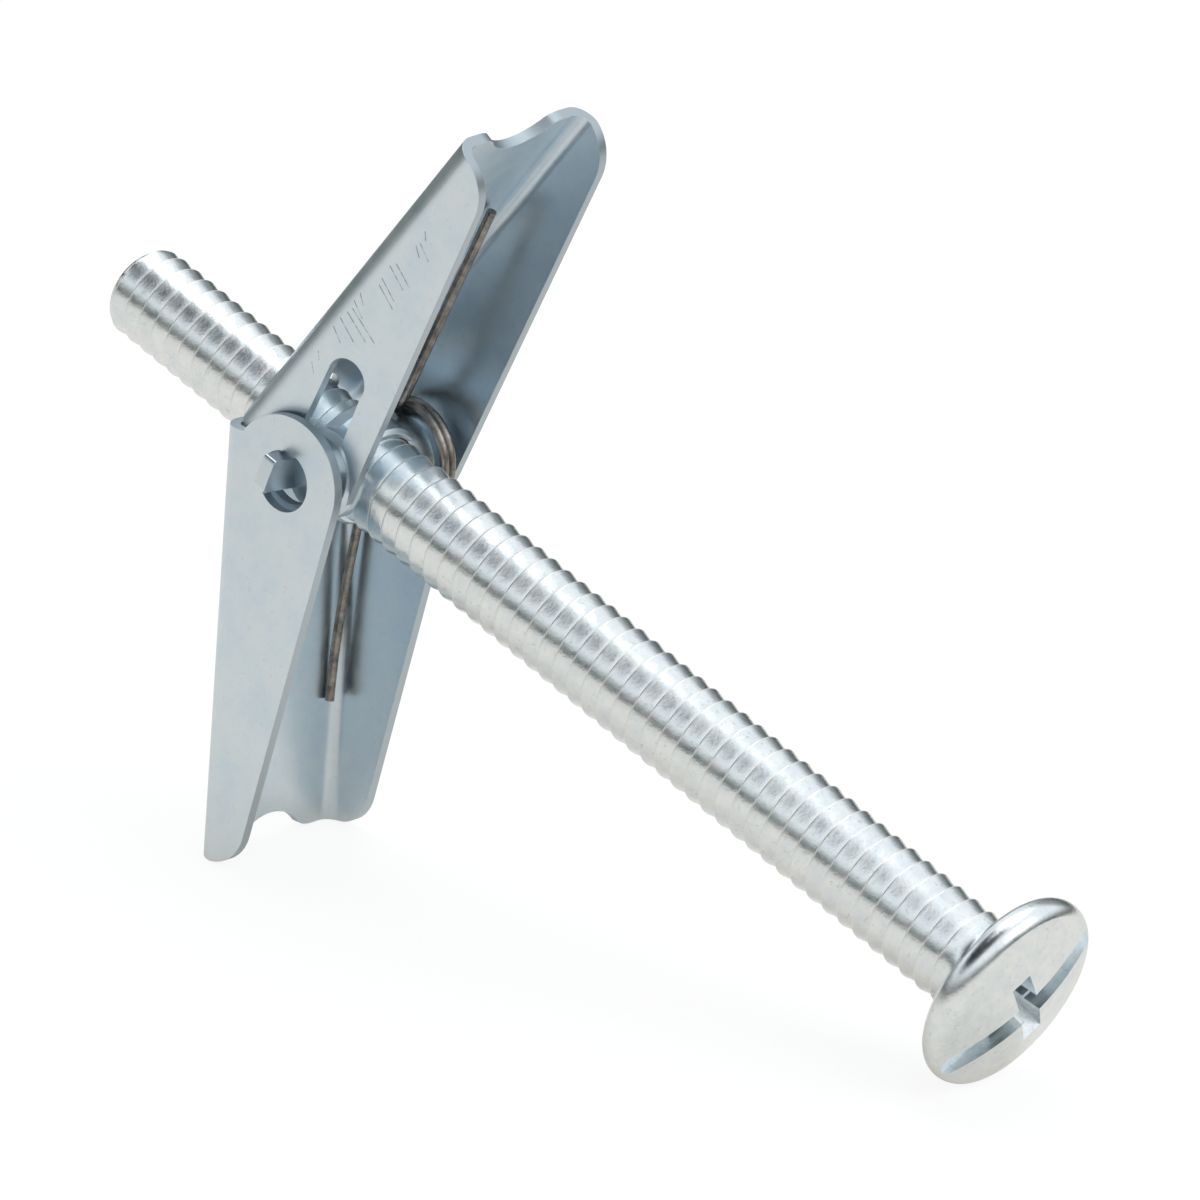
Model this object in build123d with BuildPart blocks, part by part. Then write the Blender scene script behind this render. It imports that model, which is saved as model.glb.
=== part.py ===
from build123d import *
from math import acos, asin, atan2, cos, degrees, hypot, radians, sin, sqrt, tan
import os

# Spring toggle bolt: a machine screw with a trunnion nut, two hinged channel wings and one torsion spring.
# All lengths are in millimetres and all angles in degrees.

# Machine screw, number 10 with 24 threads to the inch
THREAD_DIAMETER = 4.83
THREAD_PITCH = 25.4 / 24
THREAD_DEPTH = 0.4
THREAD_CREST = 0.5
THREAD_ROOT = 0.12
SCREW_LENGTH = 62.4
NECK_LENGTH = 1.2
NECK_DIAMETER = 4.5
NECK_FLARE = 0.35
TAIL_CHAMFER = 0.5
HEAD_DIAMETER = 10.4
HEAD_SEAT_DIAMETER = 8.9
HEAD_FACE_DIAMETER = 9.5
HEAD_RIM_HEIGHT = 1.7
HEAD_CROWN = 0.8
SLOT_WIDTH = 1.3
SLOT_DEPTH = 1.05
CROSS_SPAN = 4.3
CROSS_WIDTH = 1.15
CROSS_DEPTH = 1.9
CROSS_TAPER = 28.0
RECESS_TURN = 37.0

# Trunnion nut: a round threaded collar, with a barrel on each side that ends in a flat tab
NUT_TO_TAIL = 16.48
NUT_THREAD_CLEARANCE = 0.035
COLLAR_DIAMETER = 5.8
SHOULDER_DIAMETER = 6.4
COLLAR_FRONT = 1.9
SHOULDER_FRONT = 0.2
SHOULDER_BACK = 0.6
COLLAR_CHAMFER = 0.2
TAB_THICKNESS = 0.77
BARREL_RADIUS = 2.35
BARREL_REACH = 3.3
BARREL_FORWARD = 0.75
BARREL_CHAMFER = 0.35
TAB_HEIGHT = 1.9
TAB_REACH = 6.55
TAB_END_ROUND = 0.2
NUT_TURN = 4.0

# Sheet-metal wings, alike but for the length of the key slot
SHEET = 0.55
WING_LENGTH = 21.6
WEB_BACK = 4.53
OUTER_EAR = 5.35
EAR_GAP = 0.45
FLANGE_LEAN = 3.1
FLANGE_TAPER = 13.5
BEND_RADIUS = 1.3
EAR_RADIUS = 3.45
HINGE_HOLE_RADIUS = 1.6
TIP_ROUND = 2.4
OUTER_HEEL = 1.95
INNER_HEEL = 0.5
TIP_NOTCH_RADIUS = 2.9
TIP_NOTCH_DEPTH = 1.3
SCREW_NOTCH_CLEARANCE = 0.4
SCREW_NOTCH_DEPTH = 1.75
HOOK_HOLE_RADIUS = 1.55
HOOK_RADIUS = 2.5
HOOK_END_ANGLE = 50.0
MOUTH_RADIUS = 3.53
MOUTH_END_RADIUS = 3.95
MOUTH_END_ANGLE = 14.0
UPPER_SLOT_END = 7.92
LOWER_SLOT_END = 4.9
KEY_SLOT_RADIUS = 1.17
KEY_SLOT_OFFSET = 1.0
KEY_SLOT_WAIST = (3.0, 1.4)
KEY_SLOT_STRAIGHT = 0.1

# How the wings stand open, with the play that the loose hinge leaves
LOWER_SWEEP = 17.94
UPPER_SWEEP = 19.92
LOWER_PLAY = 0.4
UPPER_PLAY = -0.2
UPPER_TWIST = 4.0

# Torsion spring, one wire with a coil of two turns round the right-hand tab
WIRE = 0.5
COIL_RADIUS = 2.9
COIL_PITCH = 0.48
COIL_TURNS = 2
CHORD_TURN = 22.5
COIL_START = 2.6
COIL_FORWARD = 0.9
LEG_REACH = 14.7
LEG_CLEARANCE = 0.06
LOWER_LEG_SIDE = 2.95
UPPER_LEG_SIDE = 3.1
UPPER_LEG_TURN = 110.0

# The wing's free edge touches the round of its ear, and its tip corner is rounded
LEAN = tan(radians(FLANGE_LEAN))
TAPER = tan(radians(FLANGE_TAPER))
INNER_EAR = OUTER_EAR - SHEET - EAR_GAP
EDGE_START = EAR_RADIUS / cos(radians(FLANGE_TAPER))
TIP_ARC_ALONG = WING_LENGTH - TIP_ROUND
TIP_ARC_ACROSS = EDGE_START - TAPER * TIP_ARC_ALONG - TIP_ROUND / cos(radians(FLANGE_TAPER))

# At rest the lower wing's tip and the rim of the head stand on the table, so the screw slopes down to its head
RIM_BULGE = (HEAD_DIAMETER - HEAD_SEAT_DIAMETER) / 2
LOWER_PIVOT = NUT_TO_TAIL + LOWER_PLAY - SCREW_LENGTH
TIP_FORWARD = (
    LOWER_PIVOT
    + TIP_ARC_ALONG * sin(radians(LOWER_SWEEP))
    + TIP_ARC_ACROSS * cos(radians(LOWER_SWEEP))
)
TIP_UP = TIP_ARC_ACROSS * sin(radians(LOWER_SWEEP)) - TIP_ARC_ALONG * cos(radians(LOWER_SWEEP))
RIM_FORWARD = HEAD_RIM_HEIGHT / 2
RIM_UP = RIM_BULGE - HEAD_DIAMETER / 2
STANCE = hypot(TIP_FORWARD - RIM_FORWARD, TIP_UP - RIM_UP)
STANCE_ANGLE = atan2(RIM_UP - TIP_UP, RIM_FORWARD - TIP_FORWARD)
REST_SLOPE = STANCE_ANGLE + asin((TIP_ROUND - RIM_BULGE) / STANCE)

# Directions of the assembly: along the screw to its head, along the hinge, and across both
FORWARD = Vector(cos(REST_SLOPE), 0, -sin(REST_SLOPE))
HINGE = Vector(0, 1, 0)
ACROSS = Vector(sin(REST_SLOPE), 0, cos(REST_SLOPE))
SEAT = Vector(0, 0, 0)
NUT_CENTRE = SEAT + FORWARD * (NUT_TO_TAIL - SCREW_LENGTH)

screw_side = Plane(origin=SEAT, x_dir=FORWARD, z_dir=-HINGE)
screw_axis = Axis(SEAT, FORWARD)


def wing_plane(sweep, side, play, twist):
    """Plane of a wing: x runs to the wing's tip, y to the head, and z to the outer ear."""
    angle = radians(sweep)
    along = FORWARD * sin(angle) + ACROSS * (side * cos(angle))
    toward_ear = HINGE * side
    toward_head = toward_ear.cross(along)
    ear = toward_ear * cos(radians(twist)) - toward_head * sin(radians(twist))
    return Plane(origin=NUT_CENTRE + FORWARD * play, x_dir=along, z_dir=ear)


lower_plane = wing_plane(LOWER_SWEEP, -1, LOWER_PLAY, 0)
upper_plane = wing_plane(UPPER_SWEEP, 1, UPPER_PLAY, UPPER_TWIST)

os.makedirs("parts", exist_ok=True)

# Screw: turned profile with one ring groove for each turn of the thread
CREST = THREAD_DIAMETER / 2
ROOT = CREST - THREAD_DEPTH
FLANK = (THREAD_PITCH - THREAD_CREST - THREAD_ROOT) / 2
THREAD_END = -NECK_LENGTH
GROOVES = int((SCREW_LENGTH - NECK_LENGTH - TAIL_CHAMFER) / THREAD_PITCH)
HEAD_TOP = HEAD_RIM_HEIGHT + HEAD_CROWN

with BuildPart() as screw:
    with BuildSketch(screw_side):
        with BuildLine():
            profile = [(0, NECK_DIAMETER / 2 + NECK_FLARE), (-NECK_FLARE, NECK_DIAMETER / 2)]
            profile += [(THREAD_END + FLANK, NECK_DIAMETER / 2), (THREAD_END, CREST)]
            for turn in range(GROOVES):
                start = THREAD_END - turn * THREAD_PITCH - THREAD_CREST / 2
                profile.append((start, CREST))
                profile.append((start - FLANK, ROOT))
                profile.append((start - FLANK - THREAD_ROOT, ROOT))
                profile.append((start - 2 * FLANK - THREAD_ROOT, CREST))
            profile.append((TAIL_CHAMFER - SCREW_LENGTH, CREST))
            profile.append((-SCREW_LENGTH, CREST - TAIL_CHAMFER))
            profile += [(-SCREW_LENGTH, 0), (HEAD_TOP, 0)]
            Polyline(*profile)
            rim_middle = (HEAD_RIM_HEIGHT / 2, HEAD_DIAMETER / 2)
            face_edge = (HEAD_RIM_HEIGHT, HEAD_FACE_DIAMETER / 2)
            seat_edge = (0, HEAD_SEAT_DIAMETER / 2)
            crown_middle = (HEAD_RIM_HEIGHT + 0.75 * HEAD_CROWN, HEAD_FACE_DIAMETER / 4)
            ThreePointArc((HEAD_TOP, 0), crown_middle, face_edge)
            ThreePointArc(face_edge, rim_middle, seat_edge)
            Line(seat_edge, profile[0])
        make_face()
    revolve(axis=screw_axis)
    recess_plane = Plane(origin=SEAT + FORWARD * HEAD_TOP, x_dir=HINGE, z_dir=FORWARD)
    with BuildSketch(recess_plane):
        Rectangle(HEAD_DIAMETER * 1.2, SLOT_WIDTH, rotation=RECESS_TURN)
    extrude(amount=-SLOT_DEPTH, mode=Mode.SUBTRACT)
    for quarter in (0, 90):
        with BuildSketch(recess_plane):
            Rectangle(CROSS_SPAN, CROSS_WIDTH, rotation=RECESS_TURN + quarter)
        with BuildSketch(recess_plane.offset(-CROSS_DEPTH)):
            floor_span = CROSS_SPAN - 2 * CROSS_DEPTH * tan(radians(CROSS_TAPER))
            Rectangle(floor_span, CROSS_WIDTH * 0.75, rotation=RECESS_TURN + quarter)
        loft(mode=Mode.SUBTRACT)
screw.part.label = "screw"
export_step(screw.part, "parts/screw.step")

# Trunnion nut: collar round the screw and a barrel along the hinge, with tabs that pass through the ears
nut_face = Plane(origin=NUT_CENTRE, x_dir=HINGE.rotate(screw_axis, -NUT_TURN), z_dir=FORWARD)
barrel_centre = NUT_CENTRE + FORWARD * BARREL_FORWARD
barrel_end = Plane(origin=barrel_centre + nut_face.x_dir * BARREL_REACH, z_dir=nut_face.x_dir)
with BuildPart() as trunnion_nut:
    with BuildSketch(nut_face.offset(-SHOULDER_BACK)):
        Circle(SHOULDER_DIAMETER / 2)
    extrude(amount=SHOULDER_BACK + SHOULDER_FRONT)
    with BuildSketch(nut_face.offset(SHOULDER_FRONT)):
        Circle(COLLAR_DIAMETER / 2)
    extrude(amount=COLLAR_FRONT - SHOULDER_FRONT)
    rims = trunnion_nut.edges().filter_by(GeomType.CIRCLE)
    chamfer(rims.sort_by(screw_axis)[0], length=COLLAR_CHAMFER)
    rims = trunnion_nut.edges().filter_by(GeomType.CIRCLE)
    chamfer(rims.sort_by(screw_axis)[-1], length=COLLAR_CHAMFER)
    with BuildSketch(barrel_end):
        Circle(BARREL_RADIUS)
    extrude(amount=-2 * BARREL_REACH)
    rims = trunnion_nut.edges().filter_by(GeomType.CIRCLE).sort_by(Axis(barrel_centre, nut_face.x_dir))
    chamfer([rims[0], rims[-1]], length=BARREL_CHAMFER)
    with BuildSketch(nut_face.offset(-TAB_THICKNESS / 2)):
        RectangleRounded(2 * TAB_REACH, TAB_HEIGHT, TAB_END_ROUND)
    extrude(amount=TAB_THICKNESS)
    with BuildSketch(nut_face.offset(-2 * SHOULDER_DIAMETER)):
        Circle(CREST + NUT_THREAD_CLEARANCE)
    extrude(amount=4 * SHOULDER_DIAMETER, mode=Mode.SUBTRACT)
trunnion_nut.part.label = "trunnion_nut"
export_step(trunnion_nut.part, "parts/trunnion_nut.step")

# Wings: a channel whose two side profiles differ, one with a round ear and one with an open hook
WALL_ACROSS = SHEET / cos(radians(FLANGE_LEAN))
WEB_INSIDE = SHEET - WEB_BACK
OUTER_SIDE = OUTER_EAR + LEAN * WEB_BACK
INNER_SIDE = INNER_EAR + LEAN * WEB_BACK
SECTION_TOP = EAR_RADIUS * 1.2
WEB_MIDDLE = (OUTER_SIDE - INNER_SIDE) / 2
EDGE_END = EDGE_START - TAPER * WING_LENGTH
TAPER_ANGLE = radians(FLANGE_TAPER)


def ring_point(radius, angle):
    """Point on a circle about the hinge, at an angle from the wing's length toward the head."""
    return (radius * cos(radians(angle)), radius * sin(radians(angle)))


def section_corners(wall, floor):
    """Corners of the channel's section, inside a wall and above a floor, as offsets toward the head and the ear."""
    return [
        (floor, OUTER_EAR - LEAN * floor - wall),
        (SECTION_TOP, OUTER_EAR - LEAN * SECTION_TOP - wall),
        (SECTION_TOP, LEAN * SECTION_TOP + wall - INNER_EAR),
        (floor, LEAN * floor + wall - INNER_EAR),
    ]


def build_wing(plane, slot_end, label):
    """One wing on its own plane, written to its own file."""
    edge_touch = ring_point(EAR_RADIUS, 90 - FLANGE_TAPER)
    heel_across = sqrt(EAR_RADIUS**2 - OUTER_HEEL**2)
    mouth_run = sqrt(MOUTH_RADIUS**2 - EAR_RADIUS**2)
    mouth_edge = (
        edge_touch[0] + mouth_run * cos(TAPER_ANGLE),
        edge_touch[1] - mouth_run * sin(TAPER_ANGLE),
    )
    slot_centre = (slot_end - KEY_SLOT_RADIUS, -KEY_SLOT_OFFSET)
    waist = (KEY_SLOT_WAIST[0], -KEY_SLOT_WAIST[1])
    hook_across = sqrt(HOOK_RADIUS**2 - INNER_HEEL**2)
    start = Plane(
        origin=plane.origin - plane.x_dir * (2 * EAR_RADIUS), x_dir=plane.y_dir, z_dir=plane.x_dir
    )
    back = Plane(origin=plane.origin - plane.y_dir * (WEB_BACK + SHEET), x_dir=plane.x_dir, z_dir=plane.y_dir)
    with BuildPart() as wing:
        with BuildSketch(plane):
            with BuildLine():
                Polyline(
                    (-OUTER_HEEL, -heel_across),
                    (-OUTER_HEEL, -WEB_BACK),
                    (WING_LENGTH, -WEB_BACK),
                    (WING_LENGTH, EDGE_END),
                    edge_touch,
                )
                ThreePointArc(edge_touch, (-EAR_RADIUS, 0), (-OUTER_HEEL, -heel_across))
            outline = make_face()
            fillet(outline.vertices().sort_by_distance((WING_LENGTH, EDGE_END))[0], TIP_ROUND)
            Circle(HINGE_HOLE_RADIUS, mode=Mode.SUBTRACT)
        extrude(amount=OUTER_SIDE + SHEET)
        with BuildSketch(plane):
            with BuildLine():
                Polyline(
                    (-INNER_HEEL, -hook_across),
                    (-INNER_HEEL, -WEB_BACK),
                    (WING_LENGTH, -WEB_BACK),
                    (WING_LENGTH, EDGE_END),
                    mouth_edge,
                )
                mouth_end = ring_point(MOUTH_END_RADIUS, MOUTH_END_ANGLE)
                mouth_middle = ring_point((MOUTH_RADIUS + MOUTH_END_RADIUS) / 2, 3 * MOUTH_END_ANGLE)
                ThreePointArc(mouth_edge, mouth_middle, mouth_end)
                slot_top = (slot_centre[0] - KEY_SLOT_STRAIGHT, slot_centre[1] + KEY_SLOT_RADIUS)
                slot_low = (slot_centre[0] - KEY_SLOT_STRAIGHT, slot_centre[1] - KEY_SLOT_RADIUS)
                Line(mouth_end, slot_top)
                ThreePointArc(slot_top, (slot_end, slot_centre[1]), slot_low)
                waist_turn = degrees(atan2(waist[1], waist[0]))
                hook_start = ring_point(HOOK_HOLE_RADIUS, waist_turn - degrees(
                    atan2(sqrt(hypot(*waist) ** 2 - HOOK_HOLE_RADIUS**2), HOOK_HOLE_RADIUS)
                ))
                Polyline(slot_low, waist, hook_start)
                hook_tip = ring_point(HOOK_HOLE_RADIUS, HOOK_END_ANGLE)
                ThreePointArc(hook_start, (-HOOK_HOLE_RADIUS, 0), hook_tip)
                hook_nose = ring_point((HOOK_HOLE_RADIUS + HOOK_RADIUS) / 2, HOOK_END_ANGLE - 12)
                ThreePointArc(hook_tip, hook_nose, ring_point(HOOK_RADIUS, HOOK_END_ANGLE))
                ThreePointArc(
                    ring_point(HOOK_RADIUS, HOOK_END_ANGLE), (-HOOK_RADIUS, 0), (-INNER_HEEL, -hook_across)
                )
            outline = make_face()
            fillet(outline.vertices().sort_by_distance((WING_LENGTH, EDGE_END))[0], TIP_ROUND)
        extrude(amount=-(INNER_SIDE + SHEET))
        with BuildSketch(start):
            with BuildLine():
                Polyline(*section_corners(0, -WEB_BACK), close=True)
            outside = make_face()
            fillet(outside.vertices().sort_by(Axis.X)[:2], BEND_RADIUS)
        extrude(amount=WING_LENGTH + 4 * EAR_RADIUS, mode=Mode.INTERSECT)
        with BuildSketch(start):
            with BuildLine():
                Polyline(*section_corners(WALL_ACROSS, WEB_INSIDE), close=True)
            inside = make_face()
            fillet(inside.vertices().sort_by(Axis.X)[:2], BEND_RADIUS - SHEET)
        extrude(amount=WING_LENGTH + 4 * EAR_RADIUS, mode=Mode.SUBTRACT)
        with BuildSketch(back):
            notch_radius = THREAD_DIAMETER / 2 + SCREW_NOTCH_CLEARANCE
            with Locations((SCREW_NOTCH_DEPTH - notch_radius, 0)):
                Circle(notch_radius)
            with Locations((SCREW_NOTCH_DEPTH - notch_radius - EAR_RADIUS, 0)):
                Rectangle(2 * EAR_RADIUS, 2 * notch_radius)
            with Locations((WING_LENGTH - TIP_NOTCH_DEPTH + TIP_NOTCH_RADIUS, -WEB_MIDDLE)):
                Circle(TIP_NOTCH_RADIUS)
        extrude(amount=3 * SHEET, mode=Mode.SUBTRACT)
    wing.part.label = label
    export_step(wing.part, "parts/" + label + ".step")
    return wing.part


lower_wing = build_wing(lower_plane, LOWER_SLOT_END, "lower_wing")
upper_wing = build_wing(upper_plane, UPPER_SLOT_END, "upper_wing")

# Torsion spring: the coil lies round the right-hand barrel and each leg runs to the web of one wing. The upper
# leg is bent up from the top of the coil, and the lower one leaves the back of the coil straight.
coil_centre = NUT_CENTRE + FORWARD * COIL_FORWARD
LEG_ACROSS = WEB_INSIDE + WIRE / 2 + LEG_CLEARANCE
upper_end = upper_plane.from_local_coords((LEG_REACH, LEG_ACROSS, UPPER_LEG_SIDE))
lower_end = lower_plane.from_local_coords((LEG_REACH, LEG_ACROSS, -LOWER_LEG_SIDE))


def coil_point(turn, along_hinge):
    """Point on the coil's middle line, at an angle from the screw's direction."""
    toward = FORWARD * cos(radians(turn)) + ACROSS * sin(radians(turn))
    return coil_centre + toward * COIL_RADIUS + HINGE * along_hinge


lower_reach = lower_end - coil_centre
LEG_FORWARD = lower_reach.dot(FORWARD)
LEG_DOWN = lower_reach.dot(ACROSS)
leg_spread = acos(COIL_RADIUS / hypot(LEG_FORWARD, LEG_DOWN))
lower_turn = degrees(atan2(LEG_DOWN, LEG_FORWARD) - leg_spread) + 360 * (COIL_TURNS + 1)
COIL_WIDTH = COIL_PITCH * (lower_turn - UPPER_LEG_TURN) / 360
COIL_CHORDS = round((lower_turn - UPPER_LEG_TURN) / CHORD_TURN)

wire_points = [upper_end]
for chord in range(COIL_CHORDS + 1):
    share = chord / COIL_CHORDS
    turn = UPPER_LEG_TURN + share * (lower_turn - UPPER_LEG_TURN)
    wire_points.append(coil_point(turn, COIL_START + share * COIL_WIDTH))
wire_points.append(lower_end)

with BuildPart() as torsion_spring:
    with BuildLine() as wire_line:
        Polyline(*wire_points)
    with BuildSketch(Plane(origin=upper_end, z_dir=wire_points[1] - upper_end)):
        Circle(WIRE / 2)
    sweep(path=wire_line.wire(), transition=Transition.RIGHT)
torsion_spring.part.label = "torsion_spring"
export_step(torsion_spring.part, "parts/torsion_spring.step")
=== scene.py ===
import bpy
import bmesh
from math import atan2, cos, hypot, pi, radians, sin, tan
from mathutils import Matrix, Vector


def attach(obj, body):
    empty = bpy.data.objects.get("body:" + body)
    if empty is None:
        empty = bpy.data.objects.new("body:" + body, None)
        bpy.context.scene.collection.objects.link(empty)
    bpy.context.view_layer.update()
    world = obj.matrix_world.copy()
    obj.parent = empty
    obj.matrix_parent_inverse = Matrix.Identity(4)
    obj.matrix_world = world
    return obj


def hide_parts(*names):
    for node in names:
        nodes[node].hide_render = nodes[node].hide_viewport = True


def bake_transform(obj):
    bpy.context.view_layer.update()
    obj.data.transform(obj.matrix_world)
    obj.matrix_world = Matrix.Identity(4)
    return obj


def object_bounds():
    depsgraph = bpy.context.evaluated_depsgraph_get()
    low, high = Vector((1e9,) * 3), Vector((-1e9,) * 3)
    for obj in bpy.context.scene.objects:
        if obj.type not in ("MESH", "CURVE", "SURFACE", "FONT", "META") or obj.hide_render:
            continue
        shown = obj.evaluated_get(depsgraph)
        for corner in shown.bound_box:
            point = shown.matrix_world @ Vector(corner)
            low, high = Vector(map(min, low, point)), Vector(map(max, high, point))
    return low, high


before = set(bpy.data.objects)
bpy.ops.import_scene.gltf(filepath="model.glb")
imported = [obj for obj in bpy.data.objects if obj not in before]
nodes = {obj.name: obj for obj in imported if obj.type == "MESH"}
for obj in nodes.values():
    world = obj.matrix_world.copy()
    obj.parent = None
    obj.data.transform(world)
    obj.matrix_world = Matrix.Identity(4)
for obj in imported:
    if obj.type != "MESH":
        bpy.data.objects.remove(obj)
cad_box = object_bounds()

# Screw
# A number 10 machine screw with 24 threads to the inch, cold-headed from low-carbon steel wire, thread-rolled
# and then plated with bright zinc. Its low pan head has a straight slot crossed by a cross recess.
MM = 0.001
SLOPE = radians(20.82934)
FORWARD = Vector((cos(SLOPE), 0, -sin(SLOPE)))
HINGE = Vector((0, 1, 0))
ACROSS = Vector((sin(SLOPE), 0, cos(SLOPE)))


def hex_colour(text):
    """An sRGB hex colour as linear red, green, blue and alpha."""
    parts = [int(text[i:i + 2], 16) / 255 for i in (1, 3, 5)]
    linear = [c / 12.92 if c <= 0.04045 else ((c + 0.055) / 1.055) ** 2.4 for c in parts]
    return (*linear, 1.0)


def add_node(tree, kind, settings=None, links=None):
    """A node of this kind, with values by setting or input name, and links from other nodes' outputs."""
    node = tree.nodes.new(kind)
    for name, value in (settings or {}).items():
        if isinstance(name, int) or name in node.inputs:
            node.inputs[name].default_value = value
        else:
            setattr(node, name, value)
    for name, source in (links or {}).items():
        tree.links.new(source, node.inputs[name])
    return node


def new_material(name):
    """An empty material with its output node."""
    material = bpy.data.materials.new(name)
    material.use_nodes = True
    material.node_tree.nodes.clear()
    output = add_node(material.node_tree, "ShaderNodeOutputMaterial")
    return material, material.node_tree, output


def smooth_object(name, mesh, material, sharp_angle):
    """A piece with this mesh, shaded smooth except over sharp edges, its large faces kept flat."""
    finishes = [face.material_index for face in mesh.polygons]
    mesh.polygons.foreach_set("use_smooth", [True] * len(mesh.polygons))
    mesh.set_sharp_from_angle(angle=radians(sharp_angle))
    mesh.materials.clear()
    mesh.materials.append(material)
    mesh.polygons.foreach_set("material_index", finishes)
    around = [[] for vert in mesh.vertices]
    for face in mesh.polygons:
        for vert in face.vertices:
            around[vert].append((face.normal.copy(), face.area))
    limit = cos(radians(sharp_angle))
    normals = []
    for face in mesh.polygons:
        for vert in face.vertices:
            total = Vector((0, 0, 0))
            for normal, area in around[vert]:
                if normal.dot(face.normal) > limit:
                    total += normal * area
            normals.append(total.normalized())
    mesh.normals_split_custom_set(normals)
    piece = bpy.data.objects.new(name, mesh)
    bpy.context.scene.collection.objects.link(piece)
    return piece


# Bright zinc plating on a rolled thread: a clear metal sheen, clouded, with dull specks and a faint blue cast
screw_zinc, tree, output = new_material("bright_zinc_on_rolled_steel")
coords = add_node(tree, "ShaderNodeTexCoord")
# Clouds of about 0.9 mm and specks of about 0.3 mm
cloud = add_node(tree, "ShaderNodeTexNoise", {"Scale": 1100, "Detail": 5, "Roughness": 0.68},
                 {"Vector": coords.outputs["Object"]})
spread = add_node(tree, "ShaderNodeMapRange", {"From Min": 0.36, "From Max": 0.64}, {"Value": cloud.outputs["Fac"]})
tone = add_node(tree, "ShaderNodeMix", {"data_type": "RGBA"}, {"Factor": spread.outputs[0]})
tone.inputs[6].default_value = hex_colour("#DFE8ED")
tone.inputs[7].default_value = hex_colour("#EEF3F5")
speck = add_node(tree, "ShaderNodeTexNoise", {"Scale": 3600, "Detail": 4, "Roughness": 0.7},
                 {"Vector": coords.outputs["Object"]})
dull = add_node(tree, "ShaderNodeMapRange", {"From Min": 0.58, "From Max": 0.72, "To Max": 0.4},
                {"Value": speck.outputs["Fac"]})
specked = add_node(tree, "ShaderNodeMix", {"data_type": "RGBA"}, {"Factor": dull.outputs[0], 6: tone.outputs[2]})
specked.inputs[7].default_value = hex_colour("#98A2A5")
rough = add_node(tree, "ShaderNodeMapRange", {"To Min": 0.12, "To Max": 0.34}, {"Value": cloud.outputs["Fac"]})
bump = add_node(tree, "ShaderNodeBump", {"Strength": 0.35, "Distance": 0.00003}, {"Height": speck.outputs["Fac"]})
metal = add_node(tree, "ShaderNodeBsdfPrincipled", {"Metallic": 1.0},
                 {"Base Color": specked.outputs[2], "Roughness": rough.outputs[0], "Normal": bump.outputs["Normal"]})
tree.links.new(metal.outputs[0], output.inputs["Surface"])

# The thin crests are worn to bare bright metal, and their lighter, partly matt colour is also a painted highlight that
# stays bright from every side
worn_crest_painted_highlight, tree, output = new_material("worn_thread_crest_painted_highlight")
metal = add_node(tree, "ShaderNodeBsdfPrincipled",
                 {"Metallic": 0.7, "Base Color": hex_colour("#F6F6F3"), "Roughness": 0.38})
tree.links.new(metal.outputs[0], output.inputs["Surface"])

# The screw's sizes are in millimetres, and places along it count from the seat of the head
PITCH = 25.4 / 24
CREST = 5.02 / 2
THREAD_DEPTH = 0.26
ROOT = CREST - THREAD_DEPTH
NECK = 4.5 / 2
THREAD_STOP = -1.1
RUN_OUT = 0.35
ROD_END = -0.2
TAIL = -62.6
TAIL_CHAMFER = 0.45
AROUND = 72
SAME_POINT = 0.0005
# One pitch of the rolled thread, as distance along it from the crest and share of the depth: from each thin worn
# crest, which carries a painted highlight, the broad side seen from the head falls away gently, and the side that faces
# the tail is steep
PROFILE = [(-0.12, 1.0), (-0.09, 0.9), (-0.03, 0.06), (0.0, 0.0), (0.05, 0.03), (0.12, 0.12),
           (0.24, 0.25), (0.38, 0.4), (0.52, 0.55), (0.66, 0.7), (0.78, 0.84), (0.85, 0.95)]
# Rows of each pitch that take the worn crest finish with its painted highlight
WORN_PAINTED_HIGHLIGHT_ROWS = (2, 3)


def thread_point(row, column):
    """Place of one point of the rolled thread, as distance along the screw and radius."""
    turn, step = divmod(row, len(PROFILE))
    along, depth = PROFILE[step]
    place = TAIL - PITCH + (turn + along + column / AROUND) * PITCH
    radius = CREST - depth * (CREST - ROOT)
    fade = min(max((THREAD_STOP + RUN_OUT - place) / (0.9 * PITCH), 0), 1)
    radius = NECK + (radius - NECK) * fade * fade * (3 - 2 * fade)
    radius = min(radius, CREST - TAIL_CHAMFER + max(place - TAIL, 0))
    return min(max(place, TAIL), ROD_END), radius


turns = int((THREAD_STOP - TAIL) / PITCH) + 5
rows = turns * len(PROFILE)
screw_bm = bmesh.new()
grid = []
for row in range(rows + 1):
    ring = []
    for column in range(AROUND):
        place, radius = thread_point(row, column)
        angle = 2 * pi * column / AROUND
        ring.append(screw_bm.verts.new((radius * cos(angle), radius * sin(angle), place)))
    grid.append(ring)
for row in range(rows):
    for column in range(AROUND):
        following = column + 1
        shift = 0
        if following == AROUND:
            following = 0
            shift = len(PROFILE)
        if row + 1 + shift <= rows:
            corners = (grid[row][column], grid[row + shift][following],
                       grid[row + 1 + shift][following], grid[row + 1][column])
            face = screw_bm.faces.new(corners)
            face.material_index = int(row % len(PROFILE) in WORN_PAINTED_HIGHLIGHT_ROWS)
bmesh.ops.remove_doubles(screw_bm, verts=screw_bm.verts, dist=SAME_POINT)
bmesh.ops.dissolve_degenerate(screw_bm, edges=screw_bm.edges, dist=SAME_POINT)
bmesh.ops.holes_fill(screw_bm, edges=[edge for edge in screw_bm.edges if edge.is_boundary])
rod_mesh = bpy.data.meshes.new("screw_rod")
screw_bm.to_mesh(rod_mesh)
screw_bm.free()

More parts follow.
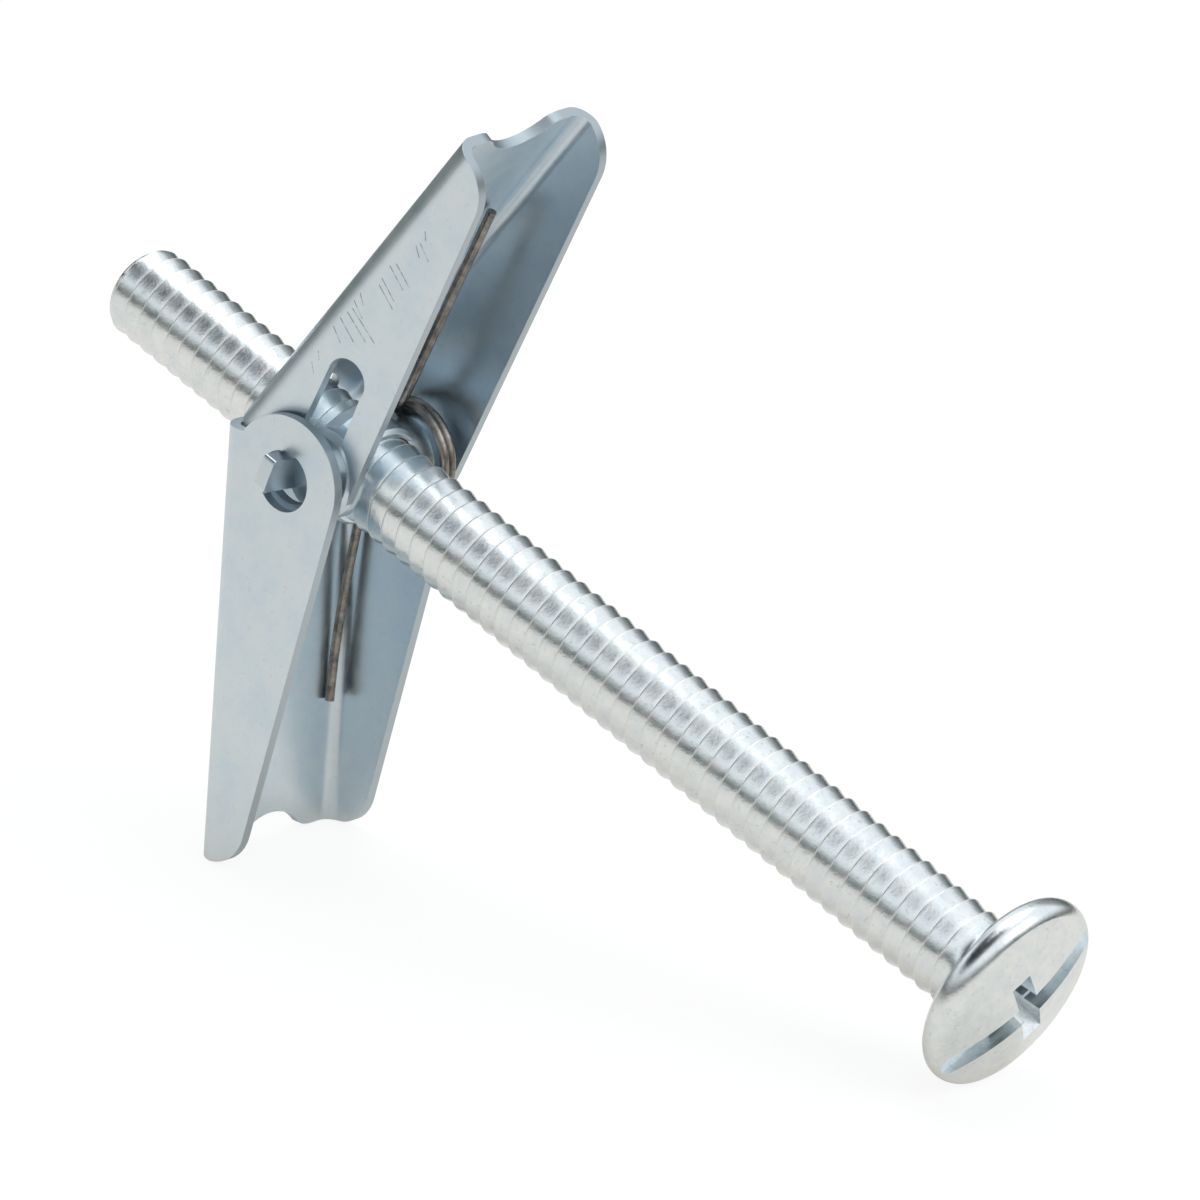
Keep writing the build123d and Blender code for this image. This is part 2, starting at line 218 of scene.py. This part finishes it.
# The head and the neck under it are one turned form, and the slot and cross are cut out of it
HEAD_RADIUS = 5.2
SEAT_RADIUS = 4.45
FACE_RADIUS = 4.75
RIM_HEIGHT = 1.7
CROWN = 0.8
SLOT_WIDTH = 1.3
SLOT_DEPTH = 1.05
CROSS_SPAN = 4.9
CROSS_WIDTH = 1.15
CROSS_DEPTH = 1.9
CROSS_TAPER = radians(28)
RECESS_TURN = radians(37.0)
HEAD_AROUND = 144
EDGE_ROUND = 0.09


def arc_through(start, middle, end, count):
    """Points on the circle arc through three points of a plane."""
    (x1, y1), (x2, y2), (x3, y3) = start, middle, end
    d = 2 * (x1 * (y2 - y3) + x2 * (y3 - y1) + x3 * (y1 - y2))
    cx = ((x1**2 + y1**2) * (y2 - y3) + (x2**2 + y2**2) * (y3 - y1) + (x3**2 + y3**2) * (y1 - y2)) / d
    cy = ((x1**2 + y1**2) * (x3 - x2) + (x2**2 + y2**2) * (x1 - x3) + (x3**2 + y3**2) * (x2 - x1)) / d
    radius = hypot(x1 - cx, y1 - cy)
    a1, a2, a3 = (atan2(y - cy, x - cx) for x, y in (start, middle, end))
    sweep = (a3 - a1) % (2 * pi)
    if (a2 - a1) % (2 * pi) > sweep:
        sweep -= 2 * pi
    turns = [a1 + sweep * i / count for i in range(count + 1)]
    return [(cx + radius * cos(turn), cy + radius * sin(turn)) for turn in turns]


def turned_mesh(name, outline, around):
    """A closed mesh turned round the local Z axis from (place along it, radius) points."""
    bm = bmesh.new()
    rings = []
    for place, radius in outline:
        if radius < 1e-6:
            rings.append([bm.verts.new((0, 0, place))])
        else:
            angles = [2 * pi * i / around for i in range(around)]
            rings.append([bm.verts.new((radius * cos(angle), radius * sin(angle), place)) for angle in angles])
    for low, high in zip(rings, rings[1:]):
        for i in range(around):
            j = (i + 1) % around
            if len(low) == 1:
                bm.faces.new((low[0], high[j], high[i]))
            elif len(high) == 1:
                bm.faces.new((low[i], low[j], high[0]))
            else:
                bm.faces.new((low[i], low[j], high[j], high[i]))
    bmesh.ops.recalc_face_normals(bm, faces=bm.faces)
    mesh = bpy.data.meshes.new(name)
    bm.to_mesh(mesh)
    bm.free()
    return mesh


def prism_mesh(name, low, high):
    """A closed mesh between two outlines of as many points."""
    bm = bmesh.new()
    bottom = [bm.verts.new(p) for p in low]
    top = [bm.verts.new(p) for p in high]
    bm.faces.new(bottom[::-1])
    bm.faces.new(top)
    count = len(bottom)
    for i in range(count):
        j = (i + 1) % count
        bm.faces.new((bottom[i], bottom[j], top[j], top[i]))
    bmesh.ops.recalc_face_normals(bm, faces=bm.faces)
    mesh = bpy.data.meshes.new(name)
    bm.to_mesh(mesh)
    bm.free()
    return mesh


def rectangle(width, height, place, turn):
    """Corners of a rectangle round the local Z axis."""
    corners = ((-width, -height), (width, -height), (width, height), (-width, height))
    return [((x * cos(turn) - y * sin(turn)) / 2, (x * sin(turn) + y * cos(turn)) / 2, place) for x, y in corners]


def cut_mesh(mesh, cutters, bevel, steps=2):
    """The mesh with the cutters taken out and its sharp edges rounded."""
    piece = bpy.data.objects.new(mesh.name, mesh)
    bpy.context.scene.collection.objects.link(piece)
    helpers = []
    for cutter in cutters:
        helper = bpy.data.objects.new(cutter.name, cutter)
        bpy.context.scene.collection.objects.link(helper)
        helpers.append(helper)
        cut = piece.modifiers.new(cutter.name, "BOOLEAN")
        cut.operation = "DIFFERENCE"
        cut.solver = "EXACT"
        cut.object = helper
    if bevel:
        round_edges = piece.modifiers.new("rounded edges", "BEVEL")
        round_edges.width = bevel
        round_edges.segments = steps
        round_edges.limit_method = "ANGLE"
        round_edges.angle_limit = radians(32)
    bpy.context.view_layer.update()
    finished = bpy.data.meshes.new_from_object(piece.evaluated_get(bpy.context.evaluated_depsgraph_get()))
    bpy.data.objects.remove(piece)
    for helper in helpers:
        bpy.data.objects.remove(helper)
    return finished


head_top = RIM_HEIGHT + CROWN
outline = [(-1.6, 0), (-1.6, NECK), (-0.35, NECK), (-0.2, NECK + 0.05), (-0.08, NECK + 0.16), (0, NECK + 0.35)]
outline += arc_through((0, SEAT_RADIUS), (RIM_HEIGHT / 2, HEAD_RADIUS), (RIM_HEIGHT, FACE_RADIUS), 18)
outline += arc_through((RIM_HEIGHT, FACE_RADIUS), (RIM_HEIGHT + 0.75 * CROWN, FACE_RADIUS / 2), (head_top, 0), 12)[1:-1]
outline.append((head_top, 0))
head_mesh = turned_mesh("screw_head", outline, HEAD_AROUND)
slot_length = 14
cutters = [prism_mesh("slot", rectangle(slot_length, SLOT_WIDTH, head_top - SLOT_DEPTH, RECESS_TURN),
                      rectangle(slot_length, SLOT_WIDTH * 1.08, head_top + 1, RECESS_TURN))]
for quarter in (0, pi / 2):
    floor_span = CROSS_SPAN - 2 * CROSS_DEPTH * tan(CROSS_TAPER)
    turn = RECESS_TURN + quarter
    cutters.append(prism_mesh("cross", rectangle(floor_span, CROSS_WIDTH * 0.75, head_top - CROSS_DEPTH, turn),
                              rectangle(CROSS_SPAN + 0.3, CROSS_WIDTH * 1.05, head_top + 0.2, turn)))
head_mesh = cut_mesh(head_mesh, cutters, EDGE_ROUND, 3)

screw_mesh = bpy.data.meshes.new("screw_body")
screw_bm = bmesh.new()
screw_bm.from_mesh(rod_mesh)
screw_bm.from_mesh(head_mesh)
# Local X lies along the hinge, local Z along the screw toward its head
placed = Matrix((HINGE, FORWARD.cross(HINGE), FORWARD)).transposed().to_4x4() @ Matrix.Scale(MM, 4)
bmesh.ops.transform(screw_bm, matrix=placed, verts=screw_bm.verts)
screw_bm.to_mesh(screw_mesh)
screw_bm.free()
screw = smooth_object("machine_screw", screw_mesh, screw_zinc, 35)
# The second finish, for the worn crests, carries a painted highlight
screw.data.materials.append(worn_crest_painted_highlight)
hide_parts("screw")
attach(screw, "screw")

# Trunnion nut
# A steel blank with a threaded collar and a barrel on each side, plated with zinc. The barrels end in two flat
# tabs, which pass through the ears of the wings and are what the wings turn on.
# The plating on rolled sheet is a satin grey metal with a blue cast, cloudy in patches of a few millimetres
sheet_zinc, tree, output = new_material("zinc_plated_sheet_steel")
coords = add_node(tree, "ShaderNodeTexCoord")
# Clouds of about 2.4 mm and specks of about 0.3 mm
cloud = add_node(tree, "ShaderNodeTexNoise", {"Scale": 420, "Detail": 6, "Roughness": 0.66},
                 {"Vector": coords.outputs["Object"]})
spread = add_node(tree, "ShaderNodeMapRange", {"From Min": 0.34, "From Max": 0.66}, {"Value": cloud.outputs["Fac"]})
tone = add_node(tree, "ShaderNodeMix", {"data_type": "RGBA"}, {"Factor": spread.outputs[0]})
tone.inputs[6].default_value = hex_colour("#D1E1EC")
tone.inputs[7].default_value = hex_colour("#E0EAF1")
speck = add_node(tree, "ShaderNodeTexNoise", {"Scale": 3800, "Detail": 4, "Roughness": 0.7},
                 {"Vector": coords.outputs["Object"]})
dull = add_node(tree, "ShaderNodeMapRange", {"From Min": 0.6, "From Max": 0.72, "To Max": 0.3},
                {"Value": speck.outputs["Fac"]})
specked = add_node(tree, "ShaderNodeMix", {"data_type": "RGBA"}, {"Factor": dull.outputs[0], 6: tone.outputs[2]})
specked.inputs[7].default_value = hex_colour("#A6B0B4")
rough = add_node(tree, "ShaderNodeMapRange", {"To Min": 0.24, "To Max": 0.42}, {"Value": cloud.outputs["Fac"]})
bump = add_node(tree, "ShaderNodeBump", {"Strength": 0.2, "Distance": 0.00002}, {"Height": speck.outputs["Fac"]})
metal = add_node(tree, "ShaderNodeBsdfPrincipled", {"Metallic": 1.0},
                 {"Base Color": specked.outputs[2], "Roughness": rough.outputs[0], "Normal": bump.outputs["Normal"]})
tree.links.new(metal.outputs[0], output.inputs["Surface"])


def stamped_copy(name, node, edge):
    """The node's shape with flat faces whole and its cut edges slightly rounded."""
    bm = bmesh.new()
    bm.from_mesh(nodes[node].data)
    bmesh.ops.remove_doubles(bm, verts=bm.verts, dist=1e-6)
    bmesh.ops.dissolve_limit(bm, angle_limit=radians(0.6), verts=bm.verts, edges=bm.edges)
    mesh = bpy.data.meshes.new(name)
    bm.to_mesh(mesh)
    bm.free()
    return cut_mesh(mesh, [], edge)


NUT_EDGE_ROUND = 0.1
nut = smooth_object("nut", stamped_copy("nut", "trunnion_nut", NUT_EDGE_ROUND * MM), sheet_zinc, 35)
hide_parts("trunnion_nut")
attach(nut, "nut")

# Wings
# Two channels, blanked and bent from zinc-plated strip steel a little over half a millimetre thick. One side of
# each ends in a round ear and the other in an open hook, and they nest on the nut's tabs. The tools left fine
# cross scratches along the near side of the upper wing.
WING_LENGTH = 21.6
BEND_TOP = -3.0
CUSP_ROUND = 0.6
SHEET_EDGE_ROUND = 0.035
NUT_PLACE = 16.48 - 62.4
UPPER_PLAY = -0.2
LOWER_PLAY = 0.4
UPPER_SWEEP = radians(19.92)
LOWER_SWEEP = radians(17.94)
UPPER_TWIST = radians(4)
# Each wing's hinge, and its directions along the wing and from the web toward its open side
upper_hinge = FORWARD * (NUT_PLACE + UPPER_PLAY) * MM
upper_along = FORWARD * sin(UPPER_SWEEP) + ACROSS * cos(UPPER_SWEEP)
upper_head = HINGE.cross(upper_along)
upper_head = upper_head * cos(UPPER_TWIST) + HINGE * sin(UPPER_TWIST)
lower_hinge = FORWARD * (NUT_PLACE + LOWER_PLAY) * MM
lower_along = FORWARD * sin(LOWER_SWEEP) - ACROSS * cos(LOWER_SWEEP)
lower_head = -HINGE.cross(lower_along)

# The tools' scratches on the upper wing are thin, dark and broken
SCRATCH_LEAN = 0.16
# Each scratch as its place along the wing, and its ends toward the web and toward the open side
SCRATCHES = [(8.2, -3.3, -2.5), (8.9, -3.3, -2.0), (9.5, -3.2, -1.5), (9.9, -3.1, -1.1), (10.3, -3.3, -2.4),
             (10.9, -3.3, -2.8), (12.2, -2.8, -1.5), (12.6, -2.9, -1.7), (13.5, -3.0, -1.7), (13.9, -2.8, -1.5),
             (15.6, -2.6, -2.1), (15.9, -2.5, -1.6), (16.6, -2.7, -2.4), (5.6, -3.0, -2.6), (6.4, -3.1, -2.8)]

scratched_zinc = sheet_zinc.copy()
scratched_zinc.name = "scratched_zinc_plated_sheet_steel"
tree = scratched_zinc.node_tree
coords = add_node(tree, "ShaderNodeTexCoord")
from_hinge = add_node(tree, "ShaderNodeVectorMath", {"operation": "SUBTRACT", 1: upper_hinge},
                      {0: coords.outputs["Object"]})
along = add_node(tree, "ShaderNodeVectorMath", {"operation": "DOT_PRODUCT", 1: upper_along / MM},
                 {0: from_hinge.outputs[0]})
toward = add_node(tree, "ShaderNodeVectorMath", {"operation": "DOT_PRODUCT", 1: upper_head / MM},
                  {0: from_hinge.outputs[0]})
place = add_node(tree, "ShaderNodeCombineXYZ", None, {"X": along.outputs["Value"], "Y": toward.outputs["Value"]})
lines = None
for station, low_end, high_end in SCRATCHES:
    start = Vector((station + SCRATCH_LEAN, low_end, 0))
    run = Vector((station - SCRATCH_LEAN, high_end, 0)) - start
    offset = add_node(tree, "ShaderNodeVectorMath", {"operation": "SUBTRACT", 1: start}, {0: place.outputs[0]})
    share = add_node(tree, "ShaderNodeVectorMath", {"operation": "DOT_PRODUCT", 1: run / run.length_squared},
                     {0: offset.outputs[0]})
    held = add_node(tree, "ShaderNodeClamp", None, {"Value": share.outputs["Value"]})
    nearest = add_node(tree, "ShaderNodeVectorMath", {"operation": "SCALE", 0: run}, {"Scale": held.outputs[0]})
    away = add_node(tree, "ShaderNodeVectorMath", {"operation": "DISTANCE"},
                    {0: offset.outputs[0], 1: nearest.outputs[0]})
    line = add_node(tree, "ShaderNodeMapRange", {"From Min": 0.01, "From Max": 0.045, "To Min": 1.0, "To Max": 0.0},
                    {"Value": away.outputs["Value"]})
    if lines:
        lines = add_node(tree, "ShaderNodeMath", {"operation": "MAXIMUM"}, {0: lines.outputs[0], 1: line.outputs[0]})
    else:
        lines = line
broken = add_node(tree, "ShaderNodeTexNoise", {"Scale": 2600, "Detail": 2}, {"Vector": coords.outputs["Object"]})
patchy = add_node(tree, "ShaderNodeMapRange", {"From Min": 0.4, "From Max": 0.55, "To Min": 0.25, "To Max": 0.8},
                  {"Value": broken.outputs["Fac"]})
sides = add_node(tree, "ShaderNodeSeparateXYZ", None, {0: coords.outputs["Object"]})
near_side = add_node(tree, "ShaderNodeMath", {"operation": "LESS_THAN", 1: -3 * MM}, {0: sides.outputs["Y"]})
patchy = add_node(tree, "ShaderNodeMath", {"operation": "MULTIPLY"}, {0: patchy.outputs[0], 1: near_side.outputs[0]})
marks = add_node(tree, "ShaderNodeMath", {"operation": "MULTIPLY"}, {0: lines.outputs[0], 1: patchy.outputs[0]})
metal = next(node for node in tree.nodes if node.type == "BSDF_PRINCIPLED")
plain = metal.inputs["Base Color"].links[0].from_socket
marked = add_node(tree, "ShaderNodeMix", {"data_type": "RGBA"}, {"Factor": marks.outputs[0], 6: plain})
marked.inputs[7].default_value = hex_colour("#565F63")
tree.links.new(marked.outputs[2], metal.inputs["Base Color"])

# Sheared and pierced edges are more matt than the rolled faces, and their darker colour is painted shade, so that each
# edge reads as a thin bright line beside the shaded inside of the channel
cut_edge_painted_shade, tree, output = new_material("zinc_plated_sheared_edge_painted_shade")
metal = add_node(tree, "ShaderNodeBsdfPrincipled",
                 {"Metallic": 1.0, "Base Color": hex_colour("#B6C2CA"), "Roughness": 0.4})
tree.links.new(metal.outputs[0], output.inputs["Surface"])


def stamped_wing(name, finish, hinge, along, head):
    """One wing, with the cusps beside its tip notch rounded and its cut edges in their own finish, darkened with
    painted shade.
    """
    ear = along.cross(head)
    bm = bmesh.new()
    bm.from_mesh(stamped_copy(name + "_sheet", name, 0))
    cusps = []
    for edge in bm.edges:
        a, b = ((vert.co - hinge) / MM for vert in edge.verts)
        run = (b - a).normalized()
        at_tip = min(a.dot(along), b.dot(along)) > WING_LENGTH - 0.1
        in_web = max(a.dot(head), b.dot(head)) < -3.9
        if at_tip and in_web and abs(run.dot(head)) > 0.98:
            cusps.append(edge)
    bmesh.ops.bevel(bm, geom=cusps, offset=CUSP_ROUND * MM, segments=5, profile=0.5, affect="EDGES")
    mesh = bpy.data.meshes.new(name + "_mesh")
    bm.to_mesh(mesh)
    bm.free()
    mesh = cut_mesh(mesh, [], SHEET_EDGE_ROUND * MM)
    wing = smooth_object(name + "_stamping", mesh, finish, 35)
    # The cut edges take the finish darkened with painted shade
    mesh.materials.append(cut_edge_painted_shade)
    for face in mesh.polygons:
        place = (face.center - hinge) / MM
        upright = abs(face.normal.dot(ear)) < 0.6 and place.dot(head) > BEND_TOP
        if upright or abs(face.normal.dot(along)) > 0.6:
            face.material_index = 1
    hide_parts(name)
    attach(wing, name)


stamped_wing("lower_wing", sheet_zinc, lower_hinge, lower_along, lower_head)
stamped_wing("upper_wing", scratched_zinc, upper_hinge, upper_along, upper_head)

# Torsion spring
# One drawn spring-steel wire half a millimetre thick, wound two turns round the far barrel of the nut, with a
# straight leg that presses on the web of each wing. The coil stays on the nut; the legs are not attached to the wings.
WIRE = 0.5
COIL_RADIUS = 2.9
COIL_START = 2.6
COIL_PITCH = 0.48
UPPER_TURN = 110.0
LOWER_TURN = 913.086
COIL_FORWARD = 0.9
LEG_REACH = 14.7
LEG_SIDE = 3.1
# The legs press on the webs: their middle lines lie this far back from the hinge
LEG_BACK = 4.53 - 0.55 - WIRE / 2 - 0.06
upper_ear = upper_along.cross(upper_head)
upper_end = upper_hinge / MM + upper_along * LEG_REACH - upper_head * LEG_BACK + upper_ear * LEG_SIDE
lower_end = lower_hinge / MM + lower_along * LEG_REACH - lower_head * LEG_BACK + HINGE * LEG_SIDE
coil_centre = FORWARD * (NUT_PLACE + COIL_FORWARD)

# Bare drawn wire: a brownish grey metal, uneven over about 0.7 mm
spring_steel, tree, output = new_material("drawn_spring_wire")
coords = add_node(tree, "ShaderNodeTexCoord")
lines = add_node(tree, "ShaderNodeTexNoise", {"Scale": 1500, "Detail": 4, "Roughness": 0.7},
                 {"Vector": coords.outputs["Object"]})
spread = add_node(tree, "ShaderNodeMapRange", {"From Min": 0.35, "From Max": 0.65}, {"Value": lines.outputs["Fac"]})
tone = add_node(tree, "ShaderNodeMix", {"data_type": "RGBA"}, {"Factor": spread.outputs[0]})
tone.inputs[6].default_value = hex_colour("#716C69")
tone.inputs[7].default_value = hex_colour("#A8A098")
rough = add_node(tree, "ShaderNodeMapRange", {"To Min": 0.22, "To Max": 0.4}, {"Value": lines.outputs["Fac"]})
metal = add_node(tree, "ShaderNodeBsdfPrincipled", {"Metallic": 1.0},
                 {"Base Color": tone.outputs[2], "Roughness": rough.outputs[0]})
tree.links.new(metal.outputs[0], output.inputs["Surface"])


def coil_point(turn):
    """Point on the coil's middle line, at an angle in degrees from the screw's direction."""
    toward = FORWARD * cos(radians(turn)) + ACROSS * sin(radians(turn))
    return coil_centre + toward * COIL_RADIUS + HINGE * (COIL_START + COIL_PITCH * (turn - UPPER_TURN) / 360)


def wire_piece(name, points, around=20):
    """A round wire along these points, in millimetres, with closed ends."""
    bm = bmesh.new()
    rings = []
    side = None
    for i, point in enumerate(points):
        before, after = points[max(i - 1, 0)], points[min(i + 1, len(points) - 1)]
        along = (after - before).normalized()
        side = along.orthogonal() if side is None else side - along * side.dot(along)
        side.normalize()
        up = along.cross(side)
        ring = []
        for k in range(around):
            angle = 2 * pi * k / around
            ring.append(bm.verts.new((point + (side * cos(angle) + up * sin(angle)) * WIRE / 2) * MM))
        rings.append(ring)
    for low, high in zip(rings, rings[1:]):
        for k in range(around):
            bm.faces.new((low[k], low[(k + 1) % around], high[(k + 1) % around], high[k]))
    for ring, turned in ((rings[0], True), (rings[-1], False)):
        bm.faces.new(ring[::-1] if turned else ring)
    bmesh.ops.recalc_face_normals(bm, faces=bm.faces)
    mesh = bpy.data.meshes.new(name)
    bm.to_mesh(mesh)
    bm.free()
    return smooth_object(name, mesh, spring_steel, 50)


COIL_STEPS = 110
bend_turn = UPPER_TURN + 16
coil_run = [coil_point(bend_turn + (LOWER_TURN - bend_turn) * i / COIL_STEPS) for i in range(COIL_STEPS + 1)]
coil = wire_piece("spring_coil", coil_run)
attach(coil, "nut")
# The upper leg turns off the top of the coil in a short bend
corner = coil_point(UPPER_TURN)
bend_end = corner + (upper_end - corner).normalized() * 0.9
bend = []
for i in range(9):
    t = i / 8
    bend.append(coil_point(bend_turn) * (1 - t) ** 2 + corner * 2 * t * (1 - t) + bend_end * t * t)
leg_run = [bend_end.lerp(upper_end, i / 24) for i in range(1, 25)]
upper_leg = wire_piece("spring_upper_leg", bend + leg_run)
lower_start = coil_point(LOWER_TURN)
# The lower leg leaves the coil along its tangent and then lies along the web
lower_pull = lower_start + lower_along * 3.2
lower_rest = lower_hinge / MM + lower_along * 8 - lower_head * LEG_BACK + HINGE * 3.3
lower_run = []
for i in range(29):
    t = i / 28
    curve = (1 - t) ** 3, 3 * t * (1 - t) ** 2, 3 * t * t * (1 - t), t ** 3
    lower_run.append(lower_start * curve[0] + lower_pull * curve[1] + lower_rest * curve[2] + lower_end * curve[3])
lower_leg = wire_piece("spring_lower_leg", lower_run)
legs = ((upper_leg, "upper_wing", bend_end, upper_end), (lower_leg, "lower_wing", lower_start, lower_end))
for leg, wing_body, start, end in legs:
    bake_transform(leg)
for piece in (coil, upper_leg, lower_leg):
    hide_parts("torsion_spring")

# Floor, light and camera
# A white paper table in a plain pale room, two broad soft lamps, and the photograph's view.
floor_mesh = bpy.data.meshes.new("table")
floor_bm = bmesh.new()
bmesh.ops.create_grid(floor_bm, x_segments=1, y_segments=1, size=0.5)
floor_bm.to_mesh(floor_mesh)
floor_bm.free()
floor = bpy.data.objects.new("table", floor_mesh)
floor.location.z = cad_box[0][2] - 0.02 * MM
bpy.context.scene.collection.objects.link(floor)
# The camera sees the paper near white, and metal sees it brighter and a little warmer than its shaded face
paper, tree, output = new_material("white_paper")
path = add_node(tree, "ShaderNodeLightPath")
mirrored = add_node(tree, "ShaderNodeMath", {"operation": "MULTIPLY", 1: 0.29},
                    {0: path.outputs["Is Glossy Ray"]})
seen = add_node(tree, "ShaderNodeMath", {"operation": "MULTIPLY_ADD", 1: 0.8},
                {0: path.outputs["Is Camera Ray"], 2: mirrored.outputs[0]})
matt = add_node(tree, "ShaderNodeBsdfDiffuse", {"Color": hex_colour("#F1F3F3")})
lit = add_node(tree, "ShaderNodeMix", {"data_type": "RGBA"}, {"Factor": path.outputs["Is Glossy Ray"]})
lit.inputs[6].default_value = (1, 1, 1, 1)
lit.inputs[7].default_value = hex_colour("#FFEDD8")
glow = add_node(tree, "ShaderNodeEmission", {"Strength": 1.08}, {"Color": lit.outputs[2]})
mixed = add_node(tree, "ShaderNodeMixShader", None, {0: seen.outputs[0], 1: matt.outputs[0], 2: glow.outputs[0]})
tree.links.new(mixed.outputs[0], output.inputs["Surface"])
floor_mesh.materials.append(paper)

world = bpy.data.worlds.new("studio")
bpy.context.scene.world = world
world.use_nodes = True
tree = world.node_tree
tree.nodes.clear()
output = add_node(tree, "ShaderNodeOutputWorld")
path = add_node(tree, "ShaderNodeLightPath")
coords = add_node(tree, "ShaderNodeTexCoord")
split = add_node(tree, "ShaderNodeSeparateXYZ", None, {0: coords.outputs["Generated"]})
# The room is dark near the level of the table and pale above
height = add_node(tree, "ShaderNodeMapRange",
                  {"interpolation_type": "SMOOTHSTEP", "From Min": 0.05, "From Max": 0.5},
                  {"Value": split.outputs["Z"]})
walls = add_node(tree, "ShaderNodeMix", {"data_type": "RGBA"}, {"Factor": height.outputs[0]})
walls.inputs[6].default_value = hex_colour("#50554F")
walls.inputs[7].default_value = hex_colour("#F4F6F7")
# A dark gap between the soft lamps, above and in front of the object, draws the dark band along the thread
front_gap = Vector((-0.22, -0.43, 0.88)).normalized()
gap = add_node(tree, "ShaderNodeVectorMath", {"operation": "DOT_PRODUCT", 1: front_gap},
               {0: coords.outputs["Generated"]})
shade = add_node(tree, "ShaderNodeMapRange",
                 {"interpolation_type": "SMOOTHSTEP", "From Min": 0.76, "From Max": 0.93},
                 {"Value": gap.outputs["Value"]})
sky = add_node(tree, "ShaderNodeMix", {"data_type": "RGBA"}, {"Factor": shade.outputs[0], 6: walls.outputs[2]})
sky.inputs[7].default_value = hex_colour("#161E22")
# A weaker one behind the lamps draws the dark patches near the top of the thread
rear_gap = Vector((-0.3, 0.87, 0.4)).normalized()
rear = add_node(tree, "ShaderNodeVectorMath", {"operation": "DOT_PRODUCT", 1: rear_gap},
                {0: coords.outputs["Generated"]})
dusk = add_node(tree, "ShaderNodeMapRange",
                {"interpolation_type": "SMOOTHSTEP", "From Min": 0.9, "From Max": 0.98, "To Max": 0.75},
                {"Value": rear.outputs["Value"]})
ceiling = add_node(tree, "ShaderNodeMix", {"data_type": "RGBA"}, {"Factor": dusk.outputs[0], 6: sky.outputs[2]})
ceiling.inputs[7].default_value = hex_colour("#3A464C")
room = add_node(tree, "ShaderNodeBackground", {"Strength": 1.1}, {"Color": ceiling.outputs[2]})
white = add_node(tree, "ShaderNodeBackground", {"Color": (1, 1, 1, 1), "Strength": 1.0})
mixed = add_node(tree, "ShaderNodeMixShader", None,
                 {0: path.outputs["Is Camera Ray"], 1: room.outputs[0], 2: white.outputs[0]})
tree.links.new(mixed.outputs[0], output.inputs["Surface"])


def soft_lamp(name, place, aim, size, power):
    """A broad square lamp that faces a point."""
    data = bpy.data.lights.new(name, "AREA")
    data.size = size
    data.energy = power
    lamp = bpy.data.objects.new(name, data)
    lamp.location = place
    lamp.rotation_euler = (Vector(aim) - Vector(place)).to_track_quat("-Z", "Y").to_euler()
    bpy.context.scene.collection.objects.link(lamp)


middle = (-0.03, 0, 0.01)
soft_lamp("key_lamp", (-0.1, 0.08, 0.55), middle, 0.4, 0.6)
soft_lamp("fill_lamp", (0.4, 0.1, 0.35), middle, 0.3, 0.3)

camera_data = bpy.data.cameras.new("photo_camera")
camera_data.sensor_width = 36
camera_data.lens = 187.308
camera_data.clip_start = 0.01
camera = bpy.data.objects.new("photo_camera", camera_data)
camera.location = (0.168538, -0.221927, 0.103435)
camera.rotation_euler = (radians(72.905), radians(-2.304), radians(41.902))
bpy.context.scene.collection.objects.link(camera)
bpy.context.scene.camera = camera
bpy.context.scene.view_settings.view_transform = "Standard"
